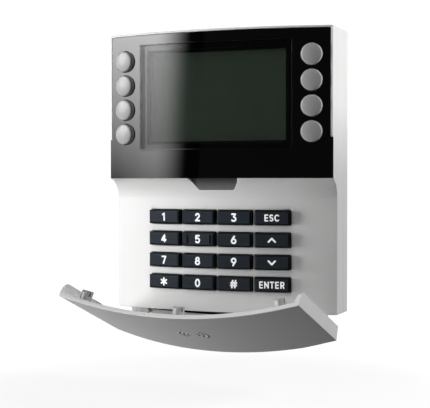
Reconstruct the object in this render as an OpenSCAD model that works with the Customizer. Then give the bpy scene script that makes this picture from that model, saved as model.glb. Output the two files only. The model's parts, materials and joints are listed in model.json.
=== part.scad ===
// Wall-mounted alarm keypad with a convex front, a display panel, a recessed
// keypad and a hinged cover flap, drawn with the flap open on its stop.
// Origin at the centre of the wall face, +X right, +Y into the wall, +Z up.

/* [Case] */
// Width of the case
case_w = 110; // [109:0.5:112]
// Height of the case
case_h = 130; // [129:0.5:134]
// Depth of the case at its left and right edges
side_d = 25.4; // [25:0.1:26.5]
// How much further the convex front reaches at its middle
bulge = 7.9; // [7.6:0.1:8.2]
// Depth of the rear base, from the wall to the seam
base_d = 6.4; // [6:0.1:7]
// Wall thickness of the case
wall = 2.2; // [2:0.1:2.3]
// Thickness of the bottom wall, which carries the hinge lugs
bottom_wall = 3; // [2.8:0.1:3.2]

/* [Display panel] */
// Thickness of the black panel
panel_t = 2.2; // [2:0.1:2.3]
// White rim left around the panel
panel_rim = 1; // [0.9:0.1:1.3]
// Height of the panel's lower edge above the case centre
panel_z = -3; // [-3.4:0.1:-2.6]
// Height at which the panel's side tabs end
tab_top_z = 15.4; // [12:0.1:18]
// Width of the lens
lens_w = 75; // [74:0.5:75.5]
// Height of the lens
lens_h = 49.3; // [48.5:0.1:49.5]
// Height of the display centre above the case centre
display_z = 34.8; // [34:0.1:35]
// Width of the visible display
lcd_w = 66.6; // [60:0.1:68]
// Height of the visible display
lcd_h = 41.3; // [38:0.1:42]

/* [Segment buttons] */
// Diameter of a button
button_d = 9.6; // [9:0.1:9.7]
// Height of a button above the panel
button_proud = 2.4; // [1.5:0.1:3]
// Distance of a button column from the middle
button_x = 45.9; // [45.8:0.1:46.5]
// Height of the top button
button_top_z = 52.1; // [51:0.1:52.5]
// Distance between neighbouring buttons
button_pitch = 11.44; // [11.2:0.02:11.5]
// Travel of a button
button_travel = 0.5; // [0.3:0.05:0.5]

/* [Keypad] */
// Depth of the keypad face behind the convex front
recess_d = 7.6; // [7.4:0.1:8]
// Radius of the concave sweep above the keypad
sweep_r = 10; // [9:0.5:11]
// Width of a key
key_w = 16.4; // [16:0.1:16.5]
// Height of a key
key_h = 6.35; // [6:0.05:6.6]
// Distance between key columns, along the key tops
key_pitch_x = 17.9; // [17.8:0.05:18]
// Distance between key rows
key_pitch_z = 10.16; // [10:0.02:10.4]
// Height of the middle of the top row
key_top_z = -21.05; // [-21.5:0.05:-21]
// Height of a key above the keypad face
key_proud = 2.5; // [2:0.1:2.6]
// Width of the chamfer round a key top
key_chamfer = 0.7; // [0.4:0.1:0.9]
// Travel of a key
key_travel = 0.9; // [0.5:0.1:0.9]

/* [Cover flap] */
// Angle at which the flap rests open on its stop
flap_open = 69.4; // [66:0.1:72]
// Thickness of the flap
flap_t = 2; // [1.8:0.1:2.2]
// Depth of the flap's side walls, from the convex front inward
flap_side_d = 6.65; // [6:0.05:6.7]
// Depth of the hinge axis in front of the wall
hinge_d = 13.8; // [13.5:0.1:14]
// Height of the hinge axis below the case
hinge_drop = 0.7; // [0.6:0.1:0.8]
// Diameter of a hinge pin
pin_d = 2.4; // [2.2:0.1:2.5]
// Diameter of the posts on the flap
post_d = 5.2; // [4.8:0.1:5.4]
// Distance of the outer posts from the middle
post_x = 46; // [45:0.1:46.5]

/* [Wall fixing] */
// Distance between the corner screw holes, sideways
screw_dx = 80; // [76:1:84]
// Distance between the corner screw holes, upwards
screw_dz = 96; // [92:1:98]
// Distance between the wall box slots
box_dx = 60; // [58:1:62]
// Diameter of the wall screw holes
screw_hole_d = 4.4; // [4:0.1:4.6]
// Length of a wall box slot
slot_l = 8; // [6:0.5:9]
// Width of the cable entry
entry_w = 34; // [28:1:36]
// Height of the cable entry
entry_h = 16; // [12:1:17]

/* [Hidden] */
arc_fn = 360;
round_fn = 64;
fit_gap = 0.15;
loose_gap = 0.3;
hair = 0.08;
play = 0.05;
nip = 0.02;
// How far a cut runs past the face that it opens
over = 1;

// Convex front: a cylinder about an upright axis behind the case
depth = side_d + bulge;
front_r = (case_w * case_w / 4 + bulge * bulge) / (2 * bulge);
axis_y = front_r - depth;
top_z = case_h / 2;
bottom_z = -case_h / 2;

// Keypad face and the sweep that leads into it
key_face_r = front_r - recess_d;
sweep_h = sqrt(sweep_r * sweep_r - pow(sweep_r - recess_d, 2));
sweep_end_z = panel_z - sweep_h;
pocket_wall = 1.8;
tab_t = 1;
upper_in_r = front_r - panel_t - pocket_wall;
lower_in_r = key_face_r - wall;

// Finger recess under the display: its outline, and depths behind the front
finger_half_w = 12;
finger_foot_half_w = 8.3;
finger_drop = 5.2;
finger_rise = 2;
finger_back_d = recess_d + loose_gap;
finger_foot_d = 6.6;
finger_top_d = 3.7;
finger_ledge_d = 2;

// Display stack, front to back
mask_t = 0.3;
lens_t = panel_t - mask_t;
lens_ledge = 1.5;
bezel_gap = 0.4;
clear_w = 69.4;
clear_h = 43.8;
bezel_w = lens_w - 2 * lens_ledge - 2 * bezel_gap;
bezel_h = lens_h - 2 * lens_ledge - bezel_gap;
tray_w = 74;
tray_h = 46.8;
glass_w = 70;
glass_h = 44.8;
mask_y = -26.2;
glass_y = -25.2;
glass_t = 1.8;
light_y = -23.3;
light_t = 2.6;
strip_w = 60;
strip_h = 3;
strip_t = 1;
frame_y = -25.4;
board_t = 1.6;
main_y = -20.2;
keypad_y = -16.6;
main_rear_y = main_y + board_t;
keypad_rear_y = keypad_y + board_t;

// Segment buttons
button_a = asin(button_x / front_r);
button_hole_d = button_d + 2 * loose_gap;
button_flange_d = 11;
button_hole_l = 16;
button_flange_r = upper_in_r - loose_gap;
button_flange_t = 0.8;
button_rim = 0.4;
button_crown_r = 18;
button_stem_r = 1.7;
switch_h = 1.6;
switch_body_t = 1;
switch_w = 6;
switch_tip_r = 1.5;
switch_x = sin(button_a) * (front_r - 6.2);
// The stem's lowest edge stops one travel and a hair above the switch
button_stem_y = main_y - switch_h - button_travel - hair - button_stem_r * sin(button_a);
button_stem_d = front_r - (axis_y - button_stem_y) / cos(button_a);

// Keys
key_gap = 0.3;
key_skirt = 2.6;
key_edge = 0.4;
key_bar_x = 5.8;
key_bar_size = [0.8, 0.7, 4];
key_top_r = key_face_r + key_proud;
key_step_a = 2 * asin(key_pitch_x / 2 / key_top_r);
key_flange_r = lower_in_r - loose_gap;
key_flange_t = 0.8;
key_stem_r = 2;
key_hole_l = 8;
key_flange_w = key_w + 0.5;
key_flange_h = key_h + 2.2;
dome_y = -19.2;
dome_foot_r = 3.2;
dome_top_r = 2.2;
mat_t = 1;
mat_w = 74;
mat_h = 41;

// Flap
hinge_y = -hinge_d;
hinge_z = bottom_z - hinge_drop;
flap_bottom_z = bottom_z - 0.2;
flap_floor_t = 1.4;
floor_edge_t = 0.2;
knuckle_w = 78;
knuckle_l = 2.2;
knuckle_lap = 0.7;
arm_x = 45.8;
arm_t = 2.6;
eye_r = 2.3;
arm_y = -26.6;
arm_foot_l = 3.6;
arm_foot_h = 6.5;
arm_bar_h = 2.2;
arm_top_z = bottom_z - 2.5;
heel_l = 4.2;
heel_drop = 1.6;
arm_slot_h = 2.4;
arm_slot_z = bottom_z + 0.7;
lug_x = 39.6;
lug_w = 5.9;
lug_r = 2.6;
pin_inset = 0.6;
// Where the flap's floor ends, and its two faces, from the hinge axis with the flap shut
floor_end = -lug_r - 2 * loose_gap;
floor_top = flap_bottom_z - hinge_z;
floor_low = floor_top - flap_floor_t;
post_drop = 7;
post_l = 5.3;
post_slot_w = 0.7;
post_slot_l = 4;
post_slot_a = 60;
slit_x = -12.5;
slit_size = [1.4, 0.4, 2];
slit_a = 8;

// Board posts: [x, z]
main_posts = [for (x = [-30, 30], z = [4, top_z - 4.5]) [x, z]];
keypad_posts = [for (x = [-40, 40], z = [-15.6, -58.8]) [x, z]];
board_post_r = 2;
board_post_l = 12;
screw_r = 1.1;
screw_head_r = 2.1;
screw_head_t = 1.4;
pilot_l = 4.2;

// Joint of the two case halves: lip, snap tabs, screw boss and ribs
lip_gap = 0.2;
lip_t = 1.4;
lip_l = 2.4;
lip_w = case_w - 2 * wall - 2 * lip_gap;
lip_bottom_z = bottom_z + bottom_wall + lip_gap;
lip_top_z = top_z - wall - lip_gap;
lip_h = lip_top_z - lip_bottom_z;
lip_z = (lip_top_z + lip_bottom_z) / 2;
seam_step = 0.4;
snap_x = 30;
snap_y = -12;
snap_size = [12, 10, 1.8];
catch_size = [12, 1.4, 1];
catch_z = 0.3;
snap_window_size = [13.4, 2.4, 1.1];
boss_y = -13;
boss_size = [10, 11.5, 8];
rib_x = 22;
rib_y = -5;
rib_t = 1.6;
rib_h = 4;
rib_l = 70;
long_rib_z = -20;
cross_rib_z = 16;
entry_z = 30;
case_screw_y = -9.2;
case_screw_r = 1.5;
case_head_r = 2.7;
case_head_t = 1.4;
case_screw_l = 9;
screw_slot_w = 0.7;
screw_slot_l = 3.2;
screw_slot_t = 0.8;

// Terminals
terminal_z = 30.5;
terminal_pitch = 5;
terminal_size = [22, 9, 9];
terminal_screw_r = 1.75;
terminal_well_l = 3;
wire_hole = 3.2;

// Boards, and what sits on them: [x, z, size]
main_board_z = 30.4;
main_board_w = 100;
main_board_h = 62.8;
keypad_board_z = -37.2;
keypad_board_w = 88;
keypad_board_h = 48;
chip_list = [[-26, 14, [12, 1.5, 12]], [28, 12, [10, 1.5, 6]], [36, 42, [8, 1.2, 8]],
             [24, 22, [5, 1, 4]], [-38, 24, [4, 1, 5]]];
capacitor = [40, 26];
capacitor_r = 3.2;
capacitor_l = 7;
sounder_x = -34;
sounder_z = 45;
sounder_r = 6;
sounder_l = 6;
sounder_hole_r = 1.2;
link_w = 20;
link_t = 0.35;
link_main_z = 3;
link_keypad_z = -17.5;
link_bend_z = -11;
connector_size = [24, 2.4, 4];
coil_z = -39;
coil_w = 72;
coil_h = 32;
coil_t = 1;
coil_band = 2.5;
tamper_box = [6, 6.5, 6];

// Tamper switch
tamper_x = 30;
tamper_z = -40;
tamper_r = 1.5;
tamper_proud = 1.2;
tamper_l = 12.4;
tamper_collar_r = 2.4;
tamper_collar_t = 1.2;

white = [0.93, 0.93, 0.92];
black = [0.03, 0.03, 0.035];
key_grey = [0.15, 0.17, 0.2];
silver = [0.62, 0.62, 0.63];
board_green = [0.06, 0.3, 0.16];
steel = [0.7, 0.7, 0.72];

key_names = ["1", "2", "3", "esc", "4", "5", "6", "up",
             "7", "8", "9", "down", "star", "0", "hash", "enter"];
button_names = [for (side = ["left", "right"], n = [1:4]) str(side, "_", n)];

// ---- placing helpers ----

// Puts children on the convex front's radius r, turned by angle a, at height z
module on_arc(r, a, z)
    translate([0, axis_y, z])
        rotate([0, 0, a])
            translate([0, -r, 0])
                children();

// A rod along Y that reaches forward from y by length l
module rod_y(x, y, z, r, l)
    translate([x, y, z])
        rotate([90, 0, 0])
            cylinder(r = r, h = l, $fn = round_fn);

// A rod along X, from x over length l
module rod_x(x, y, z, r, l)
    translate([x, y, z])
        rotate([0, 90, 0])
            cylinder(r = r, h = l, $fn = round_fn);

// A box given by its middle in X and Z, its front and its size
module block(x, y, z, size)
    translate([x - size[0] / 2, y, z - size[2] / 2])
        cube(size);

// The solid behind radius r, as wide as 2 * half_w, forward of back_y
module front_solid(r, z0, z1, half_w, back_y)
    intersection() {
        translate([0, axis_y, z0])
            cylinder(r = r, h = z1 - z0, $fn = arc_fn);
        translate([-half_w, -depth - over, z0])
            cube([2 * half_w, depth + over + back_y, z1 - z0]);
    }

// A curved skin of thickness t whose outside lies on radius r
module skin(r, t, z0, z1, half_w)
    intersection() {
        translate([0, axis_y, z0])
            difference() {
                cylinder(r = r, h = z1 - z0, $fn = arc_fn);
                translate([0, 0, -over])
                    cylinder(r = r - t, h = z1 - z0 + 2 * over, $fn = arc_fn);
            }
        translate([-half_w, -depth - over, z0 - over])
            cube([2 * half_w, depth + over, z1 - z0 + 2 * over]);
    }

// A plate seen from the front, cut out of everything between two depths
module window(x, z, w, h, y0, y1)
    translate([x - w / 2, y0, z - h / 2])
        cube([w, y1 - y0, h]);

// ---- shared shapes ----

// Space in front of the keypad face in (radius, height), less gap all round
module recess_profile(gap) {
    low = 2 * bottom_z;
    translate([key_face_r + gap, low])
        square([recess_d + over, sweep_end_z - low]);
    intersection() {
        translate([key_face_r + sweep_r, sweep_end_z])
            circle(r = sweep_r - gap, $fn = arc_fn);
        translate([key_face_r, sweep_end_z - over])
            square([recess_d + over, sweep_h + 3 * over]);
    }
}

// That space as a solid of revolution about the axis of the convex front
module recess_space(gap)
    translate([0, axis_y, 0])
        rotate_extrude($fn = arc_fn)
            recess_profile(gap);

module each_button()
    for (side = [-1, 1], i = [0:3])
        on_arc(front_r, side * button_a, button_top_z - i * button_pitch)
            children();

module each_key()
    for (column = [0:3], row = [0:3])
        on_arc(key_face_r, key_a(column), key_z(row))
            children();

function key_a(column) = (column - 1.5) * key_step_a;
function key_z(row) = key_top_z - row * key_pitch_z;

// The black tongue behind the finger recess: its outline from the front
module finger_outline(grow) {
    half = finger_half_w + grow;
    foot_half = finger_foot_half_w + grow;
    upper = panel_z + finger_rise + grow;
    lower = panel_z - finger_drop - grow;
    polygon([[-half, upper], [half, upper], [half, panel_z],
             [foot_half, lower], [-foot_half, lower], [-half, panel_z]]);
}

module finger_prism(grow)
    rotate([90, 0, 0])
        linear_extrude(depth + over)
            finger_outline(grow);

// The tongue's section: its front leans back towards the keypad face
module finger_section()
    polygon([[-finger_back_d, -finger_drop], [-finger_foot_d, -finger_drop], [-finger_top_d, 0],
             [-finger_ledge_d, 0], [-finger_ledge_d, finger_rise], [-finger_back_d, finger_rise]]);

// Board posts of one level, whose ends lie at depth y
module posts_at(places, y)
    for (p = places)
        rod_y(p[0], y, p[1], board_post_r, board_post_l);

// Pilot holes in those posts
module pilots_at(places, y)
    for (p = places)
        rod_y(p[0], y + over, p[1], screw_r + play, pilot_l);

// ---- fixed case pieces ----

module housing_outside()
    difference() {
        front_solid(front_r, bottom_z, top_z, case_w / 2, -base_d);
        recess_space(0);
    }

module housing_inside() {
    half = case_w / 2 - wall;
    front_solid(upper_in_r, panel_z + pocket_wall, top_z - wall, half, 0);
    front_solid(lower_in_r, bottom_z + bottom_wall, panel_z + pocket_wall + over, half, 0);
}

module board_posts()
    intersection() {
        union() {
            posts_at(main_posts, main_y);
            posts_at(keypad_posts, keypad_y);
        }
        difference() {
            front_solid(front_r - panel_t, bottom_z, top_z, case_w / 2 - over, 0);
            recess_space(0);
        }
    }

module hinge_lugs()
    for (side = [0, 1])
        mirror([side, 0, 0]) {
            rod_x(lug_x, hinge_y, hinge_z, lug_r, lug_w);
            translate([lug_x, hinge_y - lug_r, hinge_z])
                cube([lug_w, 2 * lug_r, bottom_z - hinge_z + over]);
        }

module panel_pocket() {
    skin(front_r + over, panel_t + over, panel_z, top_z - panel_rim, case_w / 2 - panel_rim);
    skin(front_r + over, tab_t + over, panel_z, tab_top_z, case_w / 2 + over);
}

module front_housing() color(white)
    difference() {
        union() {
            difference() {
                housing_outside();
                housing_inside();
            }
            board_posts();
            hinge_lugs();
        }
        panel_pocket();
        window(0, display_z, lens_w - 2 * lens_ledge, lens_h - 2 * lens_ledge,
               -depth - over, frame_y + over);
        each_button()
            rod_y(0, button_hole_l / 2, 0, button_hole_d / 2, button_hole_l);
        each_key()
            block(0, -key_hole_l / 2, 0, [key_w + 2 * key_gap, key_hole_l, key_h + 2 * key_gap]);
        intersection() {
            finger_prism(fit_gap);
            skin(front_r + over, finger_back_d + fit_gap + over, panel_z - finger_drop - over,
                 panel_z + finger_rise + over, finger_half_w + 2 * over);
        }
        pilots_at(main_posts, main_y);
        pilots_at(keypad_posts, keypad_y);
        for (side = [-1, 1]) {
            block(side * snap_x, snap_y - (snap_window_size[1] - catch_size[1]) / 2,
                  top_z - wall + snap_window_size[2] / 2, snap_window_size);
            block(side * (arm_x + arm_t / 2), hinge_y - lug_r - loose_gap, arm_slot_z,
                  [arm_t + 2 * loose_gap, 2 * (lug_r + loose_gap), arm_slot_h]);
        }
        for (side = [0, 1])
            mirror([side, 0, 0])
                rod_x(lug_x - over, hinge_y, hinge_z, pin_d / 2 + play, lug_w + 2 * over);
        translate([0, case_screw_y, bottom_z - over]) {
            cylinder(r = case_screw_r + lip_gap, h = bottom_wall + 3 * over, $fn = round_fn);
            cylinder(r = case_head_r + loose_gap, h = case_head_t + over + fit_gap, $fn = round_fn);
        }
    }

// The rear base's bottom and side walls, as deep as the seam
module base_tray()
    difference() {
        window(0, 0, case_w, case_h, -base_d, 0);
        translate([-case_w / 2 + wall, -base_d - over, bottom_z + bottom_wall])
            cube([case_w - 2 * wall, base_d - wall + over, case_h - wall - bottom_wall]);
    }

// A frame of thickness t, as large as the lip, between two depths
module lip_frame(grow, t, y0, y1)
    difference() {
        window(0, lip_z, lip_w + 2 * grow, lip_h + 2 * grow, y0, y1);
        window(0, lip_z, lip_w - 2 * t, lip_h - 2 * t, y0 - over, y1 + over);
    }

module snap_tab(x) {
    block(x, snap_y, lip_top_z - snap_size[2] / 2, snap_size);
    block(x, snap_y, lip_top_z + catch_z, catch_size);
}

module rear_base() color(white)
    difference() {
        union() {
            base_tray();
            lip_frame(0, lip_t, -base_d - lip_l, -wall / 2);
            lip_frame(lip_gap + over, lip_t, -base_d + seam_step, -wall / 2);
            for (side = [-1, 1]) {
                snap_tab(side * snap_x);
                block(side * rib_x, rib_y, long_rib_z, [rib_t, rib_h, rib_l]);
            }
            block(0, rib_y, cross_rib_z, [rib_l, rib_h, rib_t]);
            block(0, boss_y, lip_bottom_z + boss_size[2] / 2, boss_size);
        }
        for (x = [-1, 1], z = [-1, 1])
            rod_y(x * screw_dx / 2, over, z * screw_dz / 2, screw_hole_d / 2, 2 * base_d);
        for (side = [-1, 1])
            wall_slot(side * box_dx / 2, 0);
        window(0, entry_z, entry_w, entry_h, -base_d, over);
        rod_y(tamper_x, over, tamper_z, tamper_r + loose_gap, 2 * wall);
        translate([0, case_screw_y, bottom_z])
            cylinder(r = case_screw_r + play, h = case_screw_l + over, $fn = round_fn);
    }

// A slot through the rear wall, for a screw of a wall box
module wall_slot(x, z) {
    reach = slot_l / 2 - screw_hole_d / 2;
    for (side = [-1, 1])
        rod_y(x + side * reach, over, z, screw_hole_d / 2, 2 * wall);
    window(x, z, 2 * reach, screw_hole_d, over - 2 * wall, over);
}

module display_panel() color(black) {
    half = case_w / 2 - panel_rim - fit_gap;
    difference() {
        union() {
            skin(front_r, panel_t, panel_z, top_z - panel_rim - fit_gap, half);
            skin(front_r, tab_t, panel_z, tab_top_z - fit_gap, case_w / 2);
        }
        window(0, display_z, lens_w, lens_h, -depth - over, 0);
        each_button()
            rod_y(0, button_hole_l / 2, 0, button_hole_d / 2, button_hole_l);
    }
    intersection() {
        finger_prism(0);
        translate([0, axis_y, 0])
            rotate_extrude($fn = arc_fn)
                translate([front_r, panel_z])
                    finger_section();
    }
}

// A layer of the lens, of thickness t, whose outside lies on radius r
module lens_layer(r, t)
    intersection() {
        skin(r, t, 0, top_z, case_w / 2);
        window(0, display_z, lens_w - 2 * fit_gap, lens_h - 2 * fit_gap, -depth - over, 0);
    }

module display_lens() color([0.05, 0.06, 0.06])
    lens_layer(front_r, lens_t);

// The black border printed on the back of the lens
module lens_mask() color(black)
    difference() {
        lens_layer(front_r - lens_t, mask_t);
        window(0, display_z, clear_w, clear_h, -depth - over, 0);
    }

// A bezel behind the lens, the mask over the LCD's edges, and the tray that holds it
module lcd_frame() color(black)
    difference() {
        union() {
            front_solid(front_r - panel_t - hair, display_z - bezel_h / 2,
                        display_z + bezel_h / 2, bezel_w / 2, frame_y + hair);
            window(0, display_z, tray_w, tray_h, frame_y, main_y);
        }
        window(0, display_z, clear_w, clear_h, -depth, mask_y);
        window(0, display_z, lcd_w, lcd_h, mask_y - over, 0);
        window(0, display_z, glass_w + bezel_gap, glass_h + bezel_gap, glass_y, 0);
    }

module lcd_glass() color([0.11, 0.16, 0.12])
    window(0, display_z, glass_w, glass_h, glass_y, glass_y + glass_t);

// Light guide, with a groove for the light strip in its back
module backlight() color([0.85, 0.87, 0.8])
    difference() {
        window(0, display_z, glass_w, glass_h, light_y, light_y + light_t);
        window(0, display_z, strip_w, strip_h, light_y + light_t - strip_t, light_y + light_t + over);
    }

// ---- boards and what sits on them ----

// Holes for the board screws, through a board whose rear face is at depth y
module board_holes(places, y)
    for (p = places)
        rod_y(p[0], y + over, p[1], screw_r + 2 * play, board_t + 2 * over);

module main_board() color(board_green)
    difference() {
        window(0, main_board_z, main_board_w, main_board_h, main_y, main_rear_y);
        board_holes(main_posts, main_rear_y);
    }

module keypad_board() color(board_green)
    difference() {
        window(0, keypad_board_z, keypad_board_w, keypad_board_h, keypad_y, keypad_rear_y);
        board_holes(keypad_posts, keypad_rear_y);
    }

// Two connectors and the flat flexible strip between them
module board_link() color([0.8, 0.78, 0.68]) {
    front_y = main_rear_y + connector_size[1] / 2 - link_t / 2;
    back_y = keypad_rear_y + connector_size[1] / 2 - link_t / 2;
    top = link_main_z - connector_size[2] / 2 + over / 5;
    low = link_keypad_z + connector_size[2] / 2 - over / 5;
    block(0, main_rear_y, link_main_z, connector_size);
    block(0, keypad_rear_y, link_keypad_z, connector_size);
    translate([-link_w / 2, 0, 0])
        rotate([90, 0, 90])
            linear_extrude(link_w)
                polygon([[front_y, top], [front_y, -2], [back_y, link_bend_z], [back_y, low],
                         [back_y + link_t, low], [back_y + link_t, link_bend_z],
                         [front_y + link_t, -2], [front_y + link_t, top]]);
}

module dome_mat() color([0.55, 0.57, 0.6]) {
    mat_y = keypad_y - mat_t;
    window(0, key_z(1.5), mat_w, mat_h, mat_y, keypad_y);
    for (column = [0:3], row = [0:3])
        translate([key_flange_r * sin(key_a(column)), mat_y + mat_t / 5, key_z(row)])
            rotate([90, 0, 0])
                cylinder(r1 = dome_foot_r, r2 = dome_top_r, h = mat_y + mat_t / 5 - dome_y,
                         $fn = round_fn);
}

module button_switches() color([0.2, 0.2, 0.22])
    for (side = [-1, 1], i = [0:3]) {
        z = button_top_z - i * button_pitch;
        block(side * switch_x, main_y - switch_body_t, z, [switch_w, switch_body_t, switch_w]);
        rod_y(side * switch_x, main_y - switch_body_t + play, z, switch_tip_r,
              switch_h - switch_body_t + play);
    }

module chips() color([0.1, 0.1, 0.11]) {
    for (chip = chip_list)
        block(chip[0], main_rear_y, chip[1], chip[2]);
    rod_y(capacitor[0], main_rear_y + capacitor_l, capacitor[1], capacitor_r, capacitor_l);
}

module sounder() color([0.12, 0.12, 0.13])
    difference() {
        rod_y(sounder_x, main_rear_y + sounder_l, sounder_z, sounder_r, sounder_l);
        rod_y(sounder_x, main_rear_y + sounder_l + over, sounder_z, sounder_hole_r, 3 * over);
    }

module each_terminal()
    for (i = [-1.5:1.5])
        translate([i * terminal_pitch, 0, 0])
            children();

module terminal_block() color([0.1, 0.35, 0.2]) {
    rear_y = main_rear_y + terminal_size[1];
    difference() {
        block(0, main_rear_y, terminal_z, terminal_size);
        each_terminal()
            rod_y(0, rear_y + over, terminal_z, terminal_screw_r + fit_gap, terminal_well_l + over);
        each_terminal()
            block(0, main_rear_y + over, terminal_z - terminal_size[2] / 2,
                  [wire_hole, wire_hole, wire_hole]);
    }
}

module terminal_screws() color(steel) {
    rear_y = main_rear_y + terminal_size[1] - 2 * bezel_gap;
    each_terminal()
        difference() {
            rod_y(0, rear_y, terminal_z, terminal_screw_r, terminal_well_l - 2 * bezel_gap);
            block(0, rear_y - screw_slot_t, terminal_z, [2 * wire_hole, 2 * screw_slot_t, screw_slot_w]);
        }
}

module reader_coil() color([0.72, 0.42, 0.2])
    difference() {
        window(0, coil_z, coil_w, coil_h, keypad_rear_y, keypad_rear_y + coil_t);
        window(0, coil_z, coil_w - 2 * coil_band, coil_h - 2 * coil_band,
               keypad_rear_y - over, keypad_rear_y + coil_t + over);
    }

module tamper_switch() color([0.15, 0.15, 0.16])
    difference() {
        block(tamper_x, keypad_rear_y, tamper_z, tamper_box);
        rod_y(tamper_x, 0, tamper_z, tamper_r + play, tamper_l + tamper_proud + fit_gap);
    }

module tamper_plunger() color([0.85, 0.2, 0.15]) {
    rod_y(tamper_x, tamper_proud, tamper_z, tamper_r, tamper_proud + tamper_l);
    rod_y(tamper_x, -wall - nip, tamper_z, tamper_collar_r, tamper_collar_t);
}

// Pan-head screws that hold the boards on the posts of the front housing
module board_screws() color(steel) {
    for (p = main_posts)
        board_screw(p, main_rear_y);
    for (p = keypad_posts)
        board_screw(p, keypad_rear_y);
}

module board_screw(p, y)
    difference() {
        union() {
            rod_y(p[0], y + screw_head_t, p[1], screw_head_r, screw_head_t);
            rod_y(p[0], y, p[1], screw_r, pilot_l + 4 * play);
        }
        for (turn = [0, 90])
            translate([p[0], y + screw_slot_t, p[1]])
                rotate([0, turn, 0])
                    block(0, 0, 0, [screw_head_r + loose_gap, 2, screw_slot_w - 4 * play]);
    }

module case_screw() color(steel)
    translate([0, case_screw_y, bottom_z])
        difference() {
            union() {
                cylinder(r = case_head_r, h = case_head_t, $fn = round_fn);
                cylinder(r = case_screw_r, h = case_screw_l, $fn = round_fn);
            }
            for (turn = [0, 90])
                rotate([0, 0, turn])
                    translate([-screw_slot_l / 2, -screw_slot_w / 2, -over])
                        cube([screw_slot_l, screw_slot_w, over + screw_slot_t]);
        }

// ---- cover flap ----

// Turns the closed flap about its hinge into the open rest position
module opened()
    translate([0, hinge_y, hinge_z])
        rotate([flap_open, 0, 0])
            translate([0, -hinge_y, -hinge_z])
                children();

// The flap's section: the skin, and deeper at the two side walls
module flap_section(d)
    translate([0, axis_y, 0])
        rotate_extrude($fn = arc_fn)
            intersection() {
                recess_profile(loose_gap);
                translate([front_r - d, flap_bottom_z])
                    square([d, panel_z - flap_bottom_z]);
            }

module flap_shell() {
    half = case_w / 2;
    intersection() {
        flap_section(flap_t);
        translate([-half, -depth - over, 2 * bottom_z])
            cube([case_w, depth, case_h * 2]);
    }
    for (side = [0, 1])
        mirror([side, 0, 0])
            intersection() {
                flap_section(flap_side_d);
                translate([half - flap_t, -depth - over, 2 * bottom_z])
                    cube([flap_t, depth, case_h * 2]);
            }
}

// One arm from the inside of the flap to its hinge eye, and its pin bore
module flap_arm()
    difference() {
        union() {
            translate([arm_x, arm_y, arm_top_z])
                cube([arm_t, arm_foot_l, arm_foot_h]);
            translate([arm_x, arm_y, arm_top_z])
                cube([arm_t, hinge_y - arm_y, arm_bar_h]);
            rod_x(arm_x, hinge_y, hinge_z, eye_r, arm_t);
        }
        rod_x(arm_x - over, hinge_y, hinge_z, pin_d / 2, arm_t + 2 * over);
    }

// The heel of an arm, which meets the case's bottom face when the flap is open
module flap_heel()
    difference() {
        translate([arm_x, hinge_y, hinge_z - heel_drop])
            cube([arm_t, heel_l, hinge_drop + heel_drop - nip]);
        rod_x(arm_x - over, hinge_y, hinge_z, eye_r - bezel_gap, arm_t + 2 * over);
    }

// The flap's floor, which lies under the case when the flap is shut, and thins out at its ends
module flap_floor() {
    half = arm_x + arm_t;
    flat = knuckle_w / 2;
    intersection() {
        front_solid(front_r, hinge_z + floor_low - over, flap_bottom_z, half + over,
                    hinge_y + floor_end);
        translate([0, 0, flap_bottom_z])
            rotate([90, 0, 0])
                linear_extrude(depth + 2 * over)
                    polygon([[-half, over], [half, over], [half, -floor_edge_t],
                             [flat, -flap_floor_t], [-flat, -flap_floor_t], [-half, -floor_edge_t]]);
    }
}

// A point of the shut flap's section, about the hinge axis, once the flap is open
function swung(p) = [p[0] * cos(flap_open) - p[1] * sin(flap_open),
                     p[0] * sin(flap_open) + p[1] * cos(flap_open)];

// The knuckle along the floor's end, which closes the gap under the case when the flap is open
module flap_knuckle()
    translate([-knuckle_w / 2, hinge_y, hinge_z])
        rotate([90, 0, 90])
            linear_extrude(knuckle_w)
                polygon([swung([floor_end - knuckle_lap, floor_top]), swung([floor_end, floor_top]),
                         [0, hinge_drop - 2 * nip], [knuckle_l, hinge_drop - 2 * nip],
                         [knuckle_l, -knuckle_l], swung([floor_end - knuckle_lap, floor_low])]);

// A small slit in the free edge, halfway through the flap's thickness
module edge_slit()
    on_arc(front_r - flap_t / 2, asin(slit_x / front_r), panel_z)
        rotate([0, slit_a, 0])
            block(0, -slit_size[1] / 2, 0, slit_size);

module flap_cover() color(white) {
    opened() {
        difference() {
            flap_shell();
            edge_slit();
        }
        flap_floor();
        for (side = [0, 1])
            mirror([side, 0, 0])
                flap_arm();
    }
    for (side = [0, 1])
        mirror([side, 0, 0])
            flap_heel();
    flap_knuckle();
}

// Slotted posts inside the free edge, which meet the sweep when the flap shuts
module flap_posts() color([0.8, 0.8, 0.8])
    opened()
        for (x = [-post_x, 0, post_x])
            flap_post(x);

module flap_post(x)
    intersection() {
        on_arc(front_r - flap_t, asin(x / front_r), panel_z - post_drop)
            difference() {
                rod_y(0, post_l, 0, post_d / 2, post_l + loose_gap);
                rotate([0, post_slot_a, 0])
                    block(0, post_l - post_slot_l + over, 0, [post_slot_w, post_slot_l, post_d + over]);
            }
        translate([0, axis_y, 0])
            rotate_extrude($fn = arc_fn)
                intersection() {
                    recess_profile(loose_gap);
                    translate([0, 2 * bottom_z])
                        square([front_r - flap_t, case_h]);
                }
    }

module hinge_pins() color(steel)
    for (side = [0, 1])
        mirror([side, 0, 0])
            rod_x(lug_x + pin_inset, hinge_y, hinge_z, pin_d / 2, arm_x + arm_t - lug_x - pin_inset);

// ---- pieces that are pressed ----

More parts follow.
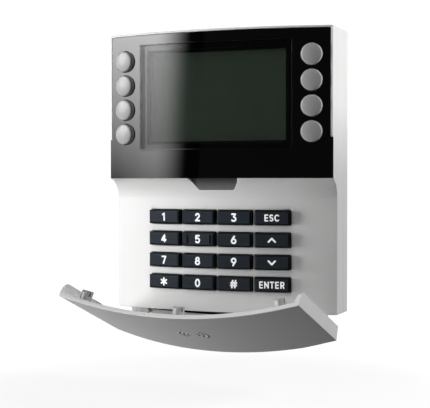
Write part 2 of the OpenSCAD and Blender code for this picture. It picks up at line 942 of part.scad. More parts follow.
// A button's section: flange, side, chamfered rim and a crown with a small flat middle
module button_section() {
    face_r = button_d / 2 - button_rim;
    crown_h = button_crown_r - sqrt(button_crown_r * button_crown_r - face_r * face_r);
    rim_top = button_proud - crown_h;
    skirt = front_r - button_flange_r;
    polygon([[0, -skirt], [button_d / 2, -skirt], [button_d / 2, rim_top - button_rim],
             [face_r, rim_top], [0, rim_top]]);
    intersection() {
        translate([0, button_proud - button_crown_r])
            circle(r = button_crown_r, $fn = arc_fn);
        translate([0, rim_top - nip])
            square([face_r, crown_h]);
    }
    translate([0, -skirt - button_flange_t])
        square([button_flange_d / 2, button_flange_t]);
    translate([0, -button_stem_d])
        square([button_stem_r, button_stem_d]);
}

// A button, turned about its own axis
module segment_button(side, i) color(silver)
    on_arc(front_r, side * button_a, button_top_z - i * button_pitch)
        rotate([90, 0, 0])
            rotate_extrude($fn = round_fn)
                button_section();

// A key's outline seen along an edge: straight sides and a chamfered top
module key_outline(w)
    polygon([[-w / 2, key_skirt], [w / 2, key_skirt], [w / 2, -key_proud + key_edge],
             [w / 2 - key_chamfer, -key_proud], [-w / 2 + key_chamfer, -key_proud],
             [-w / 2, -key_proud + key_edge]]);

module key_cap()
    intersection() {
        translate([0, 0, -key_h])
            linear_extrude(2 * key_h)
                key_outline(key_w);
        rotate([0, 90, 0])
            translate([0, 0, -key_w])
                linear_extrude(2 * key_w)
                    key_outline(key_h);
    }

// The two raised bars that mark the middle key
module key_bars()
    for (side = [-1, 1])
        block(side * key_bar_x, -key_proud - key_bar_size[1] / 2, 0, key_bar_size);

module key(i) {
    column = i % 4;
    row = floor(i / 4);
    a = key_a(column);
    flange_y = key_face_r - key_flange_r;
    // The stem's lowest edge stops one travel and a hair above its dome
    stem_end_y = dome_y - key_travel - hair - key_stem_r * sin(abs(a));
    stem_y = (axis_y - stem_end_y) / cos(a) - key_face_r;
    color(key_grey)
        on_arc(key_face_r, a, key_z(row)) {
            key_cap();
            block(0, flange_y, 0, [key_flange_w, key_flange_t, key_flange_h]);
            rod_y(0, -stem_y, 0, key_stem_r, -stem_y - flange_y);
            if (key_names[i] == "5")
                key_bars();
        }
}

rear_base();
front_housing();
display_panel();
display_lens();
lens_mask();
lcd_frame();
lcd_glass();
backlight();
main_board();
keypad_board();
board_link();
dome_mat();
button_switches();
chips();
sounder();
terminal_block();
terminal_screws();
reader_coil();
tamper_switch();
tamper_plunger();
board_screws();
case_screw();
flap_cover();
flap_posts();
hinge_pins();
for (i = [0:7])
    segment_button(i < 4 ? -1 : 1, i % 4);
for (i = [0:15])
    key(i);
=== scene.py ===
import json
import math

import bmesh
import bpy
from mathutils import Matrix, Vector


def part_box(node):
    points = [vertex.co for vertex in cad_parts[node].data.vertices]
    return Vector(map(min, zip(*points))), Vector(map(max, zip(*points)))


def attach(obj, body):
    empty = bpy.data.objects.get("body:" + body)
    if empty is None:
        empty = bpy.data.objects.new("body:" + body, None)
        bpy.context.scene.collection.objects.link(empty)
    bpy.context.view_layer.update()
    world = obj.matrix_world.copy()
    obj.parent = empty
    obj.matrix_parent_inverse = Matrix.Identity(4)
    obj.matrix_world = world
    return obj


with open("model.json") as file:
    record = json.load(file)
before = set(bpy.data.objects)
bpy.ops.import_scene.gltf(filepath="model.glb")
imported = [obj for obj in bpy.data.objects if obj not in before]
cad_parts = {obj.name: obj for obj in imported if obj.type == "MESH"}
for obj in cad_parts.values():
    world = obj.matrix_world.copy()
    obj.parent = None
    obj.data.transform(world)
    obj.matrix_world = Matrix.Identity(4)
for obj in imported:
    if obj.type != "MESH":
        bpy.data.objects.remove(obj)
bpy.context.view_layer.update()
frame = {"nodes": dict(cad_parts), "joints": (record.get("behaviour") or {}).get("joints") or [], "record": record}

MM = 0.001
NODES = frame["nodes"]
JOINTS = {j["name"]: j for j in frame["joints"]}
SLOT_OF = {s["node"]: s["material_slot"] for s in frame["record"]["subparts"]}
UP = Vector((0, 0, 1))
BUTTONS = [name for name in NODES if name.startswith(("button_left", "button_right"))]


def linked(name, data):
    """A new object in the scene."""
    obj = bpy.data.objects.new(name, data)
    bpy.context.scene.collection.objects.link(obj)
    return obj


# ---- nodes of a material ----

NOISE_LOW, NOISE_HIGH = 0.3, 0.7      # nearly all of a noise lies between these


def new_material(name, colour, roughness, **constants):
    """A Principled material whose fixed values sit on its own sockets."""
    mat = bpy.data.materials.new(name)
    mat.use_nodes = True
    shader = mat.node_tree.nodes["Principled BSDF"]
    shader.inputs["Base Color"].default_value = (*colour, 1)
    shader.inputs["Roughness"].default_value = roughness
    for key, value in constants.items():
        socket = key.replace("_", " ").title().replace("Ior", "IOR")
        shader.inputs[socket].default_value = value
    return mat, mat.node_tree, shader


def local_axes(tree, kind="Object"):
    """X, Y and Z of a point in the part's frame, or of another texture coordinate."""
    place = tree.nodes.new("ShaderNodeTexCoord")
    split = tree.nodes.new("ShaderNodeSeparateXYZ")
    tree.links.new(place.outputs[kind], split.inputs["Vector"])
    return split.outputs


def noise(tree, scale, detail=3, stretch=(1, 1, 1)):
    """A noise texture in the part's own coordinates, in waves per metre."""
    place = tree.nodes.new("ShaderNodeTexCoord")
    scaled = tree.nodes.new("ShaderNodeMapping")
    scaled.inputs["Scale"].default_value = stretch
    tex = tree.nodes.new("ShaderNodeTexNoise")
    tex.inputs["Scale"].default_value = scale
    tex.inputs["Detail"].default_value = detail
    tree.links.new(place.outputs["Object"], scaled.inputs["Vector"])
    tree.links.new(scaled.outputs["Vector"], tex.inputs["Vector"])
    return tex.outputs["Fac"]


def ramp(tree, value, from_low, from_high, to_low, to_high, kind="SMOOTHSTEP"):
    """Maps one range of a value onto another, and holds it beyond both ends."""
    node = tree.nodes.new("ShaderNodeMapRange")
    node.interpolation_type = kind
    node.inputs["From Min"].default_value = from_low
    node.inputs["From Max"].default_value = from_high
    node.inputs["To Min"].default_value = to_low
    node.inputs["To Max"].default_value = to_high
    tree.links.new(value, node.inputs["Value"])
    return node.outputs["Result"]


def product(tree, first, second):
    """One value times another."""
    node = tree.nodes.new("ShaderNodeMath")
    node.operation = "MULTIPLY"
    tree.links.new(first, node.inputs[0])
    tree.links.new(second, node.inputs[1])
    return node.outputs["Value"]


def tint(tree, shader, factor, dark, light):
    """Colours the surface between two close colours, by a noise."""
    node = tree.nodes.new("ShaderNodeValToRGB")
    low, high = node.color_ramp.elements
    low.position, low.color = NOISE_LOW, (*dark, 1)
    high.position, high.color = NOISE_HIGH, (*light, 1)
    tree.links.new(factor, node.inputs["Fac"])
    tree.links.new(node.outputs["Color"], shader.inputs["Base Color"])


def uneven(tree, shader, factor, low, high):
    """Varies the roughness from low to high, by a noise."""
    rough = ramp(tree, factor, NOISE_LOW, NOISE_HIGH, low, high, "LINEAR")
    tree.links.new(rough, shader.inputs["Roughness"])


def bump(tree, shader, height, depth, strength):
    """Raises the surface by a height map, depth in metres."""
    node = tree.nodes.new("ShaderNodeBump")
    node.inputs["Strength"].default_value = strength
    node.inputs["Distance"].default_value = depth
    tree.links.new(height, node.inputs["Height"])
    tree.links.new(node.outputs["Normal"], shader.inputs["Normal"])


def overlay(tree, socket, mask, value):
    """Takes a linked socket of the shader over to one value wherever the mask is 1."""
    target = tree.nodes["Principled BSDF"].inputs[socket]
    mix = tree.nodes.new("ShaderNodeMixRGB")
    mix.inputs["Color2"].default_value = value
    tree.links.new(mask, mix.inputs["Fac"])
    tree.links.new(target.links[0].from_socket, mix.inputs["Color1"])
    tree.links.new(mix.outputs["Color"], target)


def shade(colour, k):
    """The colour times k."""
    return tuple(c * k for c in colour)


def moulded(name, colour, roughness, grain=2600, depth=0.03 * MM, variation=0.03, **constants):
    """Moulded plastic: cloudy colour, spark-eroded grain and uneven sheen."""
    mat, tree, shader = new_material(name, colour, roughness, **constants)
    clouds, sheen = noise(tree, 45), noise(tree, 160, detail=4)
    tint(tree, shader, clouds, shade(colour, 1 - variation), colour)
    uneven(tree, shader, sheen, roughness * 0.85, roughness * 1.15)
    bump(tree, shader, noise(tree, grain, detail=2), depth, strength=0.35)
    return mat


def polished(name, colour, roughness, **constants):
    """Polished plastic: faint smears in the gloss and a slight waviness."""
    mat, tree, shader = new_material(name, colour, roughness, **constants)
    clouds, smears = noise(tree, 30), noise(tree, 90, detail=5, stretch=(1, 1, 0.4))
    tint(tree, shader, clouds, shade(colour, 0.8), colour)
    uneven(tree, shader, smears, roughness * 0.6, roughness * 1.5)
    bump(tree, shader, noise(tree, 70, detail=1), depth=0.02 * MM, strength=0.08)
    return mat


def brushed(name, colour, roughness, stretch=(1, 1, 14), **constants):
    """Metal with fine drawn lines along one direction."""
    mat, tree, shader = new_material(name, colour, roughness, metallic=1.0, **constants)
    clouds, lines = noise(tree, 200), noise(tree, 900, detail=2, stretch=stretch)
    tint(tree, shader, clouds, shade(colour, 0.8), colour)
    uneven(tree, shader, lines, roughness * 0.7, roughness * 1.3)
    bump(tree, shader, lines, depth=0.02 * MM, strength=0.3)
    return mat


# ---- materials: one function for each slot of the record, and for print and the painted shade of engraving ----

def white_case():
    """Fine-textured white housing."""
    return moulded("white_case", (0.80, 0.80, 0.795), 0.42, variation=0.02)


def gloss_black():
    """Polished panel. Its finger recess, below the lower edge, is satin, with painted light that makes it paler
    lower down.
    """
    edge_z, fade, foot_z = -3.1 * MM, 0.2 * MM, -7.5 * MM
    mat = polished("gloss_black", (0.0012, 0.0012, 0.0014), 0.05, specular_ior_level=0.5)
    tree = mat.node_tree
    height = local_axes(tree)["Z"]
    satin = ramp(tree, height, edge_z + fade, edge_z - fade, 0, 1)
    overlay(tree, "Roughness", satin, (0.4, 0.4, 0.4, 1))
    overlay(tree, "Base Color", satin, (0.03, 0.03, 0.032, 1))
    # painted light: the recess is painted paler towards its foot, standing in for what it reflects from below
    painted_light_lower = ramp(tree, height, edge_z - 2 * fade, foot_z, 0, 1, "LINEAR")
    overlay(tree, "Base Color", painted_light_lower, (0.16, 0.16, 0.165, 1))
    return mat


def lens():
    """Dark window, seen through."""
    mat = polished("lens", (0.0012, 0.0012, 0.0014), 0.04, specular_ior_level=0.5)
    mat.node_tree.nodes["Principled BSDF"].inputs["Alpha"].default_value = 0.4
    return mat


def lcd():
    """Dark green display cell, switched off, with a fine grain."""
    mat, tree, shader = new_material("lcd", (0.14, 0.205, 0.145), 0.35)
    grain, sheen = noise(tree, 4000, detail=1), noise(tree, 60)
    tint(tree, shader, grain, (0.132, 0.195, 0.137), (0.146, 0.212, 0.151))
    uneven(tree, shader, sheen, 0.3, 0.4)
    return mat


def matte_black():
    """Black mouldings, and the painted shade of the flap's knuckle strip, the button rings and the bar shadows of
    key 5.
    """
    return moulded("matte_black", (0.003, 0.003, 0.0034), 0.5, specular_ior_level=0.15)


def light_guide():
    """Milky guide behind the display."""
    return moulded("light_guide", (0.75, 0.77, 0.72), 0.25, grain=1500)


def board():
    """Green solder mask."""
    return moulded("board", (0.02, 0.13, 0.05), 0.3, grain=900, variation=0.25)


def flex():
    """Ivory flat link."""
    return moulded("flex", (0.65, 0.58, 0.42), 0.4)


def silicone():
    """Grey dome mat."""
    return moulded("silicone", (0.25, 0.26, 0.29), 0.6, grain=1800)


def terminal_green():
    """Green terminal block."""
    return moulded("terminal_green", (0.03, 0.18, 0.07), 0.4)


def plated_steel():
    """Zinc-plated screws and pins."""
    return brushed("plated_steel", (0.62, 0.61, 0.58), 0.3)


def copper():
    """Enamelled winding."""
    return brushed("copper", (0.75, 0.33, 0.14), 0.28, stretch=(1, 14, 1))


def red_plastic():
    """Red plunger."""
    return moulded("red_plastic", (0.42, 0.02, 0.015), 0.35)


def silver_plastic():
    """Satin silver, with painted light that makes the side walls of the buttons paler; the buttons are all above z
    = 0.
    """
    mat = moulded("silver_plastic", (0.42, 0.42, 0.425), 0.25, grain=5200, depth=0.01 * MM,
                  variation=0.06, specular_ior_level=0.3)
    tree = mat.node_tree
    # painted light: the side walls of the buttons are painted paler than the faces
    painted_wall = ramp(tree, local_axes(tree, "Normal")["Y"], -0.6, -0.4, 0, 1)
    on_panel = ramp(tree, local_axes(tree)["Z"], -1 * MM, 0, 0, 1)
    overlay(tree, "Base Color", product(tree, painted_wall, on_panel), (0.85, 0.85, 0.855, 1))
    return mat


def key_plastic():
    """Dark blue-grey caps, with painted shade that makes their walls black."""
    mat = moulded("key_plastic", (0.020, 0.026, 0.034), 0.42, grain=3200, variation=0.12,
                  specular_ior_level=0.12)
    tree = mat.node_tree
    # painted shade: the walls of the caps are painted black
    painted_wall = ramp(tree, local_axes(tree, "Normal")["Y"], -0.93, -0.82, 0, 1)
    overlay(tree, "Base Color", painted_wall, (0.002, 0.0022, 0.0026, 1))
    return mat


def print_and_painted_glow():
    """White ink of the legends, with a painted glow so that it stays bright in the shade."""
    # painted glow: the white emits light though it is no lamp
    return moulded("print_and_painted_glow", (0.88, 0.88, 0.88), 0.5, grain=5000, depth=0.01 * MM,
                   emission_color=(1, 1, 1, 1), emission_strength=0.25)


def painted_groove_shade():
    """Painted shade in the floor of an engraved line."""
    # painted shade: dark grey where a groove would be in shadow
    return moulded("painted_groove_shade", (0.07, 0.07, 0.07), 0.5, grain=4000)


MAKERS = [white_case, gloss_black, lens, lcd, matte_black, light_guide, board, flex, silicone,
          terminal_green, plated_steel, copper, red_plastic, silver_plastic, key_plastic,
          print_and_painted_glow, painted_groove_shade]
MATERIALS = {maker.__name__: maker() for maker in MAKERS}


def finish_nodes():
    """Gives every CAD node the material of its record slot."""
    for name, obj in NODES.items():
        obj.data.materials.clear()
        obj.data.materials.append(MATERIALS[SLOT_OF[name]])


# ---- edges of the CAD nodes ----

EDGES = {"front_housing": 0.35 * MM, "rear_base": 0.3 * MM, "display_panel": 0.05 * MM,
         "flap_cover": 0.22 * MM, "flap_posts": 0.2 * MM}
KEY_EDGE, KEY_LEAST = 0.15 * MM, 20               # width, and least angle in degrees
BUTTON_EDGE, BUTTON_LEAST = 0.12 * MM, 25


def round_edges(name, width, least=28):
    """Moulded corner radii: merges the mesh, drops its flat seams, and bevels each edge whose
    angle is over the least, in degrees."""
    obj = NODES[name]
    weld = obj.modifiers.new("weld", "WELD")
    weld.merge_threshold = 0.002 * MM
    flat = obj.modifiers.new("flat", "DECIMATE")
    flat.decimate_type = "DISSOLVE"
    flat.angle_limit = math.radians(0.2)
    bevel = obj.modifiers.new("bevel", "BEVEL")
    bevel.width = width
    bevel.segments = 2
    bevel.limit_method = "ANGLE"
    bevel.angle_limit = math.radians(least)
    bevel.use_clamp_overlap = False
    bevel.miter_outer = "MITER_ARC"
    even = obj.modifiers.new("even", "WEIGHTED_NORMAL")
    even.keep_sharp = False
    even.weight = 50


def finish_edges():
    """Rounds the case, the flap, the keys and the buttons."""
    for name, width in EDGES.items():
        round_edges(name, width)
    # The hinge arms meet at shallow corners, where an offset bevel overshoots.
    NODES["flap_cover"].modifiers["bevel"].offset_type = "ABSOLUTE"
    for name in NODES:
        if name.startswith("key_"):
            round_edges(name, KEY_EDGE, KEY_LEAST)
        elif name in BUTTONS:
            round_edges(name, BUTTON_EDGE, BUTTON_LEAST)


# ---- surfaces that pieces lie on ----

def press_axis(name):
    """The direction in which a key or button is pressed."""
    return Vector(JOINTS[f"{name}_press"]["axis"]).normalized()


def press_face(node, inward, step=0.0):
    """Centre of the face that a finger meets, step below the node's highest point, and the
    direction along it to the side."""
    outward, flatness = -inward, 0.02 * MM
    points = [v.co for v in NODES[node].data.vertices]
    top = max(outward.dot(p) for p in points) - step
    face = [p for p in points if abs(outward.dot(p) - top) < flatness]
    low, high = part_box(node)
    centre = (low + high) / 2
    side = inward.cross(UP)
    mid = (max(side.dot(p) for p in face) + min(side.dot(p) for p in face)) / 2
    return outward * top + side * mid + UP * centre.z, side


def front_curve():
    """Radius and axis depth of the convex front, from the housing's own corners."""
    corner = 0.05 * MM
    points = [v.co for v in NODES["front_housing"].data.vertices]
    half = max(p.x for p in points)
    side = -min(p.y for p in points if p.x > half - corner)
    deep = -min(p.y for p in points)
    bulge = deep - side
    radius = (half * half + bulge * bulge) / (2 * bulge)
    return radius, radius - deep


FRONT_RADIUS, FRONT_AXIS_Y = front_curve()


def on_front(x, z, h):
    """The point h above the convex front, x along its curve from the middle and at height z."""
    a, r = x / FRONT_RADIUS, FRONT_RADIUS + h
    return Vector((r * math.sin(a), FRONT_AXIS_Y - r * math.cos(a), z))


def opened(point):
    """Where a point of the shut flap is at rest."""
    joint = JOINTS["flap_hinge"]
    pivot = Vector(joint["pos_m"])
    turn = Matrix.Rotation(-math.radians(joint["range_deg"][1]), 3, Vector(joint["axis"]))
    return pivot + turn @ (point - pivot)


# ---- shapes of legends: rounded strokes in a cell 1 high, centred ----

def arc(cx, cy, rx, ry, start, end, steps=12):
    """Points on an ellipse between two angles in degrees."""
    turns = [math.radians(start + (end - start) * i / steps) for i in range(steps + 1)]
    return [(cx + rx * math.cos(t), cy + ry * math.sin(t)) for t in turns]


def spoke(degrees):
    """A line through the middle of the cell, at an angle."""
    x, y = 0.5 * math.cos(math.radians(degrees)), 0.5 * math.sin(math.radians(degrees))
    return [(x, y), (-x, -y)]


# Each glyph is its width and its strokes.
GLYPHS = {
    "0": (0.72, [arc(0, 0, 0.3, 0.5, 0, 360, 24)]),
    "1": (0.5, [[(-0.2, 0.3), (0.06, 0.5), (0.06, -0.5)]]),
    "2": (0.68, [arc(0, 0.21, 0.27, 0.29, 165, -38) + [(-0.29, -0.5), (0.3, -0.5)]]),
    "3": (0.68, [[(-0.26, 0.5), (0.25, 0.5), (0.0, 0.11)] + arc(0, -0.2, 0.3, 0.3, 80, -145)]),
    "4": (0.72, [[(0.13, -0.5), (0.13, 0.5), (-0.33, -0.24), (0.34, -0.24)]]),
    "5": (0.68, [[(0.25, 0.5), (-0.21, 0.5), (-0.25, 0.03)]
                 + arc(0, -0.18, 0.3, 0.32, 130, -145)]),
    "6": (0.7, [[(0.1, 0.5), (-0.22, 0.03)] + arc(0, -0.2, 0.3, 0.3, 150, 510, 24)]),
    "7": (0.66, [[(-0.29, 0.5), (0.3, 0.5), (-0.08, -0.5)]]),
    "8": (0.7, [arc(0, 0.26, 0.24, 0.24, 0, 360, 20), arc(0, -0.22, 0.3, 0.28, 0, 360, 24)]),
    "9": (0.7, [[(-0.1, -0.5), (0.22, -0.03)] + arc(0, 0.2, 0.3, 0.3, -30, 330, 24)]),
    "E": (0.62, [[(0.24, 0.5), (-0.22, 0.5), (-0.22, -0.5), (0.24, -0.5)],
                 [(-0.22, 0), (0.2, 0)]]),
    "S": (0.64, [arc(0, 0.25, 0.24, 0.25, 40, 250) + arc(0, -0.25, 0.26, 0.25, 90, -140)]),
    "C": (0.76, [arc(0.03, 0, 0.36, 0.5, 48, 312, 18)]),
    "N": (0.78, [[(-0.3, -0.5), (-0.3, 0.5), (0.3, -0.5), (0.3, 0.5)]]),
    "T": (0.62, [[(-0.29, 0.5), (0.29, 0.5)], [(0, 0.5), (0, -0.5)]]),
    "R": (0.7, [[(-0.24, -0.5), (-0.24, 0.5), (0.04, 0.5)] + arc(0.04, 0.22, 0.24, 0.28, 90, -90)
                + [(-0.24, -0.06)], [(0.02, -0.06), (0.27, -0.5)]]),
    "*": (0.9, [spoke(30), spoke(90), spoke(150)]),
    "#": (0.9, [[(-0.16, 0.5), (-0.28, -0.5)], [(0.28, 0.5), (0.16, -0.5)],
                [(-0.4, 0.18), (0.42, 0.18)], [(-0.42, -0.18), (0.4, -0.18)]]),
    "up": (1.4, [[(-0.62, -0.3), (0, 0.34), (0.62, -0.3)]]),
    "down": (1.4, [[(-0.62, 0.3), (0, -0.34), (0.62, 0.3)]]),
}

LEGENDS = {"1": ["1"], "2": ["2"], "3": ["3"], "esc": list("ESC"),
           "4": ["4"], "5": ["5"], "6": ["6"], "up": ["up"],
           "7": ["7"], "8": ["8"], "9": ["9"], "down": ["down"],
           "star": ["*"], "0": ["0"], "hash": ["#"], "enter": list("ENTER")}
GLYPH_GAP = 0.26


def split_sharp(line, limit=50):
    """Cuts a stroke at its corners, so that each corner is joined by a round end."""
    parts, start = [], 0
    for i in range(1, len(line) - 1):
        before = math.atan2(line[i][1] - line[i - 1][1], line[i][0] - line[i - 1][0])
        after = math.atan2(line[i + 1][1] - line[i][1], line[i + 1][0] - line[i][0])
        turn = abs((after - before + math.pi) % (2 * math.pi) - math.pi)
        if turn > math.radians(limit):
            parts.append(line[start:i + 1])
            start = i
    return parts + [line[start:]]


def legend_strokes(symbols, size):
    """The strokes of a row of glyphs, centred, in metres."""
    widths = [GLYPHS[s][0] for s in symbols]
    x = -(sum(widths) + GLYPH_GAP * (len(symbols) - 1)) / 2
    strokes = []
    for symbol, width in zip(symbols, widths):
        for line in GLYPHS[symbol][1]:
            for part in split_sharp(line):
                strokes.append([((x + width / 2 + px) * size, py * size) for px, py in part])
        x += width + GLYPH_GAP
    return strokes


# ---- making pieces ----

def finished(piece, material, body):
    """Gives a new piece its material and its body."""
    piece.data.materials.append(MATERIALS[material])
    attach(piece, body)


def stroke_curve(name, strokes, pen):
    """Flat strokes as round tubes of radius pen, turned into a mesh."""
    curve = bpy.data.curves.new(name, "CURVE")
    curve.dimensions = "3D"
    curve.bevel_depth = pen
    curve.bevel_resolution = 3
    curve.use_fill_caps = True
    for line in strokes:
        spline = curve.splines.new("POLY")
        closed = (Vector(line[0]) - Vector(line[-1])).length < 1e-6
        points = line[:-1] if closed else line
        spline.points.add(len(points) - 1)
        for point, (x, y) in zip(spline.points, points):
            point.co = (x, y, 0, 1)
        spline.use_cyclic_u = closed
    obj = linked(name, curve)
    bpy.context.view_layer.update()
    depsgraph = bpy.context.evaluated_depsgraph_get()
    mesh = bpy.data.meshes.new_from_object(obj.evaluated_get(depsgraph))
    bpy.data.objects.remove(obj)
    return mesh


def stroke_piece(name, strokes, place, material, body, pen, rise):
    """Strokes of radius pen with round ends, laid on a surface and pressed flat until they
    rise only so far above it. place(x, y, h) gives the point h above the surface."""
    mesh = stroke_curve(name, strokes, pen)
    bm = bmesh.new()
    bm.from_mesh(mesh)
    for x, y in (end for line in strokes for end in (line[0], line[-1])):
        dab = bmesh.ops.create_uvsphere(bm, u_segments=12, v_segments=6, radius=pen)
        bmesh.ops.translate(bm, verts=dab["verts"], vec=(x, y, 0))
    for v in bm.verts:
        v.co = place(v.co.x, v.co.y, v.co.z / pen * rise)
    bm.to_mesh(mesh)
    bm.free()
    for face in mesh.polygons:
        face.use_smooth = True
    finished(linked(name, mesh), material, body)


def lofted_piece(name, rings, material, body, closed=False):
    """Skins a row of equal rings, and closes it end to end or caps it."""
    bm = bmesh.new()
    loops = [[bm.verts.new(point) for point in ring] for ring in rings]
    nexts = loops[1:] + loops[:1] if closed else loops[1:]
    for first, second in zip(loops, nexts):
        for i in range(len(first)):
            j = (i + 1) % len(first)
            bm.faces.new((first[i], first[j], second[j], second[i]))
    if not closed:
        bm.faces.new(loops[0])
        bm.faces.new(loops[-1])
    bmesh.ops.recalc_face_normals(bm, faces=bm.faces)
    mesh = bpy.data.meshes.new(name)
    bm.to_mesh(mesh)
    bm.free()
    finished(linked(name, mesh), material, body)


# ---- legends ----

BAR_HEIGHT = 0.35 * MM      # the two bars on key 5 stand this far above its face


def on_key(key):
    """Places points on the face of a key, between the two bars on the middle one."""
    inward = press_axis(f"key_{key}")
    centre, side = press_face(f"key_{key}", inward, BAR_HEIGHT if key == "5" else 0.0)
    return lambda x, y, h: centre + side * x + UP * y - inward * h


def legend_size(symbols):
    """Height and pen of a legend: words are smaller than figures, and arrows are lower."""
    if len(symbols) > 1:
        return 3.25 * MM, 0.31 * MM
    return (3.3 * MM if symbols[0] in ("up", "down") else 4.0 * MM), 0.41 * MM


def key_legend(key, symbols):
    """The printed legend of one key."""
    size, pen = legend_size(symbols)
    strokes = legend_strokes(symbols, size - 2 * pen)
    stroke_piece(f"legend_{key}", strokes, on_key(key), "print_and_painted_glow", f"key_{key}",
                 pen=pen, rise=0.04 * MM)


def key_bar_shadows():
    """Dark strips of painted shadow beside the two raised bars of the middle key."""
    half_length = 1.75 * MM
    strokes = [[(x, -half_length), (x, half_length)] for x in (-4.95 * MM, 6.65 * MM)]
    # painted shadow: flat black strips on the shaded side of each bar
    stroke_piece("key_5_bar_shadows", strokes, on_key("5"), "matte_black", "key_5",
                 pen=0.42 * MM, rise=0.03 * MM)


def build_legends():
    """The legends of all sixteen keys."""
    for key, symbols in LEGENDS.items():
        key_legend(key, symbols)
    key_bar_shadows()


# ---- card symbol on the flap ----

SYMBOL_X, SYMBOL_Z = -0.8 * MM, -32.5 * MM      # its middle, on the shut flap
WAVES = ((1, 0.2 * MM, 2.2 * MM), (-1, -1.0 * MM, 1.9 * MM))      # side, start and spacing
WAVE_REACH = 48                                 # degrees up and down from level


def engraved_symbol():
    """The usual sign for a contactless card: waves in painted shade, with a rim of painted highlight."""
    def place(x, y, h):
        return opened(on_front(SYMBOL_X + x, SYMBOL_Z + y, h))

    strokes = []
    for side, start, spacing in WAVES:
        for i in (1, 2, 3):
            line = arc(0, 0, i * spacing, i * spacing, -WAVE_REACH, WAVE_REACH)
            strokes.append([(start + side * x, y) for x, y in line])
    # painted highlight along the edges of the engraved waves
    stroke_piece("flap_symbol_painted_highlight", strokes, place, "print_and_painted_glow", "flap",
                 pen=0.68 * MM, rise=0.015 * MM)
    # painted shade in the floor of the engraved waves
    stroke_piece("flap_symbol", strokes, place, "painted_groove_shade", "flap",
                 pen=0.54 * MM, rise=0.05 * MM)


# ---- painted shade strip, bead and painted shade rings ----

def flap_gap_shade():
    """Black strip along the flap's knuckle, which shuts the slot under the case; it is painted shade of the gap
    there.
    Its lower edge dips towards the middle, and its section is a low half ellipse."""
    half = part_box("hinge_pins")[1].x - 10.5 * MM      # its ends stay clear of the hinge arms
    foot = Vector(JOINTS["flap_hinge"]["pos_m"]) + Vector((0, -1.56, -2.73)) * MM
    along = Vector((0, 0.418, 0.909))                 # up along the knuckle
    outward = Vector((0, -along.z, along.y))
    deep, proud, end = 0.1 * MM, 0.18 * MM, 3.0 * MM
    middle_start, end_rise = 1.0 * MM, 1.4 * MM       # of the lower edge
    count, sides = 24, 16
    rings = []
    for k in range(count + 1):
        t = 2 * k / count - 1
        start = middle_start + end_rise * t * t
        middle, reach = foot + along * (start + end) / 2, (end - start) / 2
        angles = [math.pi * i / sides for i in range(sides + 1)]
        ring = [middle + along * reach * math.cos(a) + outward * proud * math.sin(a)
                for a in angles]
        ring += [middle + along * step - outward * deep for step in (-reach, reach)]
        rings.append([point + Vector((t * half, 0, 0)) for point in ring])
    # painted shade: a black strip where the gap under the case lies in shadow
    lofted_piece("flap_gap_shade", rings, "matte_black", "flap")


def lens_bead():
    """Thin glossy bead over the joint between the lens and the panel."""
    low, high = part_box("display_lens")
    margin, count = 0.08 * MM, 32
    half = FRONT_RADIUS * math.asin((high.x + margin) / FRONT_RADIUS)
    bottom, top = low.z - margin, high.z + margin
    across = [half * (2 * i / count - 1) for i in range(count + 1)]
    strokes = [[(x, z) for x in across] for z in (bottom, top)]
    strokes += [[(x, bottom), (x, top)] for x in (-half, half)]
    stroke_piece("lens_bead", strokes, on_front, "gloss_black", "case",
                 pen=0.22 * MM, rise=0.03 * MM)


# Section of a button's ring of painted shade in mm: out from the button's side, and in from its rim.
SHADE_RING_SECTION = [(-0.1, 0.02), (0.03, 0.04), (0.05, 0.08), (0.05, 0.44), (0.03, 0.48), (-0.1, 0.5)]


def button_shade_ring(name):
    """Thin black band round a button, just under its chamfered rim: painted shade of the shadow line there."""
    inward = press_axis(name)
    top, side = press_face(name, inward)
    cap_depth, count = 1.2 * MM, 64

    def out_from_axis(p):
        return (p - inward * inward.dot(p)).length

    points = [v.co - top for v in NODES[name].data.vertices]
    cap = [p for p in points if inward.dot(p) < cap_depth]
    radius = max(out_from_axis(p) for p in cap)
    rim = min(inward.dot(p) for p in cap if out_from_axis(p) > radius - 0.01 * MM)
    rings = []
    for k in range(count):
        a = 2 * math.pi * k / count
        outward = side * math.cos(a) + UP * math.sin(a)
        rings.append([top + outward * (radius + r * MM) + inward * (rim + d * MM)
                      for r, d in SHADE_RING_SECTION])
    # painted shade: a black band where the shadow line under the rim falls
    lofted_piece(f"{name}_ring", rings, "matte_black", name, closed=True)


def build_shade_rings():
    """The painted shade rings of all eight buttons."""
    for name in BUTTONS:
        button_shade_ring(name)


# ---- studio ----

def aim(obj, target):
    """Turns a lamp towards a point."""
    obj.rotation_euler = (Vector(target) - obj.location).to_track_quat("-Z", "Y").to_euler()


def away(azimuth, elevation):
    """A direction from the object: azimuth 0 is in front of it, 90 on its right."""
    a, e = math.radians(azimuth), math.radians(elevation)
    return Vector((math.sin(a) * math.cos(e), -math.cos(a) * math.cos(e), math.sin(e)))


def soft_lamp(name, azimuth, elevation, distance, size, power, target=(0, 0, 0)):
    """A large lamp that lights the object but isn't mirrored in its gloss."""
    data = bpy.data.lights.new(name, "AREA")
    data.shape = "RECTANGLE"
    data.size, data.size_y = size
    data.energy = power
    lamp = linked(name, data)
    lamp.location = Vector(target) + away(azimuth, elevation) * distance
    lamp.visible_glossy = False
    lamp.visible_camera = False
    aim(lamp, target)


def edge_spot():
    """A soft-edged pool of light on the upper half of the right side."""
    target = Vector((0.055, -0.01, 0.075))
    data = bpy.data.lights.new("side_upper", "SPOT")
    data.energy = 14
    data.spot_size = math.radians(9)
    data.spot_blend = 0.35
    data.shadow_soft_size = 0.02
    lamp = linked("side_upper", data)
    lamp.location = target + away(110, 0) * 0.85
    lamp.visible_glossy = False
    aim(lamp, target)


